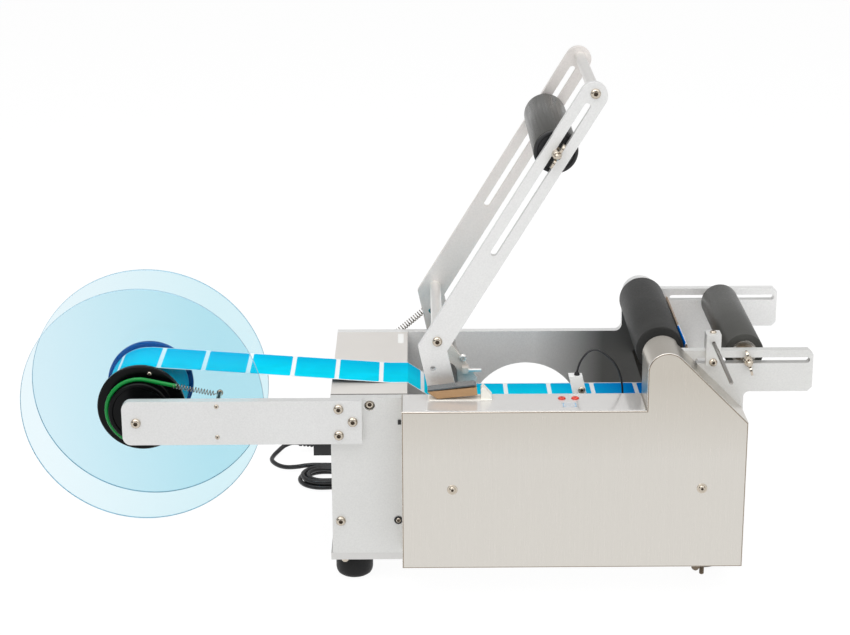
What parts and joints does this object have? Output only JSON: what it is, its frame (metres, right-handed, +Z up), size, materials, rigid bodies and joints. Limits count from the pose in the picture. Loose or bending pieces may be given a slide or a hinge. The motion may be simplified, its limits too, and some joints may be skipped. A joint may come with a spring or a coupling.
{
  "type": "bottle labelling machine",
  "caption": "Bench machine that feeds labels from a reel of clear discs and rolls them onto a round bottle held on rollers by a slotted swing arm.",
  "frame": {"origin": "floor level, under the middle of the object's length and depth without the mains lead", "axes": "+X along the label path from the reel to the bottle rollers, +Y from the front cover to the back plate, +Z up"},
  "size_m": [0.835, 0.5241, 0.5428],
  "materials": {
    "plate_alu": "matte",
    "bracket_alu": "matte",
    "cover_steel": "satin",
    "sheet_white": "matte",
    "panel_overlay": "gloss",
    "display_glass": "gloss",
    "button_red": "gloss",
    "screw_steel": "polished",
    "steel": "satin",
    "spring_steel": "satin",
    "hub_black": "satin",
    "disc_clear": "gloss",
    "label_blue": "satin",
    "cord_green": "satin",
    "rubber_black": "matte",
    "rubber_grey": "matte",
    "plastic_black": "satin",
    "peel_brown": "satin",
    "sensor_white": "satin",
    "switch_tan": "matte",
    "lever_dark": "satin",
    "motor_black": "satin",
    "case_grey": "matte",
    "cord_black": "satin",
    "tie_red": "satin"
  },
  "bodies": {
    "frame": {"base_plate": "plate_alu", "feet": "rubber_black", "front_plate": "plate_alu", "back_plate": "plate_alu", "frame_rods": "steel", "fasteners": "screw_steel", "top_cover": "sheet_white", "front_cover": "cover_steel", "control_panel": "panel_overlay", "display_window": "display_glass", "reel_bracket": "bracket_alu", "reel_shaft": "steel", "label_strip": "label_blue", "brake_cord": "cord_green", "brake_spring": "spring_steel", "spring_posts": "steel", "arm_pivot": "steel", "arm_spring": "spring_steel", "drive_bearings": "steel", "label_table": "cover_steel", "peel_plate": "peel_brown", "guide_bracket": "bracket_alu", "label_sensor": "sensor_white", "sensor_fibre": "cord_black", "motor": "motor_black", "timing_belts": "rubber_black", "electronics": "case_grey", "power_gland": "plastic_black", "cord_lead": "cord_black", "cord_hank": "cord_black", "cord_tail": "cord_black", "mains_plug": "plastic_black", "cord_tie": "tie_red", "switch_body": "switch_tan", "switch_pad": "sensor_white"},
    "left_button": {"left_button": "button_red"},
    "right_button": {"right_button": "button_red"},
    "switch_lever": {"switch_lever": "lever_dark"},
    "reel": {"reel_hub": "hub_black", "front_disc": "disc_clear", "back_disc": "disc_clear", "label_roll": "label_blue"},
    "arm": {"front_arm": "plate_alu", "back_arm": "plate_alu", "arm_rods": "steel", "arm_screws": "screw_steel"},
    "press_carriage": {"press_axle": "steel"},
    "press_roller": {"press_roller": "rubber_grey", "press_caps": "plastic_black"},
    "drive_roller": {"drive_roller": "rubber_black", "drive_shaft": "steel"},
    "motor_shaft": {"motor_pulley": "steel"},
    "traction_roller": {"traction_roller": "rubber_grey"},
    "idler_carriage": {"idler_axle": "steel"},
    "idler": {"idler_roller": "rubber_grey", "idler_bearings": "steel"},
    "stop": {"stop_block": "plate_alu", "stop_screws": "screw_steel"},
    "stop_rod": {"stop_rod": "screw_steel"},
    "guide_roller": {"guide_roller": "rubber_black"}
  },
  "joints": [
    {"name": "left_button_press", "type": "slide", "parent": "frame", "child": "left_button", "axis": [0, 0, -1], "range_m": [0, 0.001], "stiffness_N_per_m": 400},
    {"name": "right_button_press", "type": "slide", "parent": "frame", "child": "right_button", "axis": [0, 0, -1], "range_m": [0, 0.001], "stiffness_N_per_m": 400},
    {"name": "switch_lever_press", "type": "hinge", "parent": "frame", "child": "switch_lever", "pos_m": [0.01673, -0.06785, 0.22487], "axis": [0, 1, 0], "range_deg": [0, 1.7], "stiffness_Nm_per_rad": 0.5, "springref_deg": -2.86},
    {"name": "reel_spin", "type": "hinge", "parent": "frame", "child": "reel", "pos_m": [-0.2875, 0.02115, 0.1895], "axis": [0, 1, 0], "continuous": true},
    {"name": "arm_swing", "type": "hinge", "parent": "frame", "child": "arm", "pos_m": [0.038, 0.05615, 0.19], "axis": [0, 1, 0], "range_deg": [0, 46], "stiffness_Nm_per_rad": 3, "springref_deg": -57.3, "deforming": ["arm_spring"]},
    {"name": "press_slide", "type": "slide", "parent": "arm", "child": "press_carriage", "axis": [0.521, 0, 0.8536], "range_m": [-0.11, 0.042]},
    {"name": "press_spin", "type": "hinge", "parent": "press_carriage", "child": "press_roller", "pos_m": [0.14841, 0.05615, 0.4691], "axis": [0, 1, 0], "continuous": true},
    {"name": "drive_spin", "type": "hinge", "parent": "frame", "child": "drive_roller", "pos_m": [0.2608, 0.05615, 0.2558], "axis": [0, 1, 0], "continuous": true},
    {"name": "motor_spin", "type": "hinge", "parent": "frame", "child": "motor_shaft", "pos_m": [0.25, -0.04885, 0.1], "axis": [0, 1, 0], "continuous": true},
    {"name": "traction_spin", "type": "hinge", "parent": "frame", "child": "traction_roller", "pos_m": [0.035, 0.05615, 0.075], "axis": [0, 1, 0], "continuous": true},
    {"name": "idler_slide", "type": "slide", "parent": "frame", "child": "idler_carriage", "axis": [1, 0, 0], "range_m": [-0.012, 0.058]},
    {"name": "idler_spin", "type": "hinge", "parent": "idler_carriage", "child": "idler", "pos_m": [0.3495, 0.05615, 0.2516], "axis": [0, 1, 0], "continuous": true},
    {"name": "stop_slide", "type": "slide", "parent": "frame", "child": "stop", "axis": [1, 0, 0], "range_m": [-0.006, 0.01]},
    {"name": "stop_rod_slide", "type": "slide", "parent": "stop", "child": "stop_rod", "axis": [0, 1, 0], "range_m": [0, 0.1]},
    {"name": "guide_spin", "type": "hinge", "parent": "frame", "child": "guide_roller", "pos_m": [0.0375, 0.02115, 0.2005], "axis": [0, 1, 0], "continuous": true}
  ],
  "couplings": [
    {"joint": "motor_spin", "follows": "drive_spin", "ratio": 1},
    {"joint": "traction_spin", "follows": "drive_spin", "ratio": 1}
  ]
}
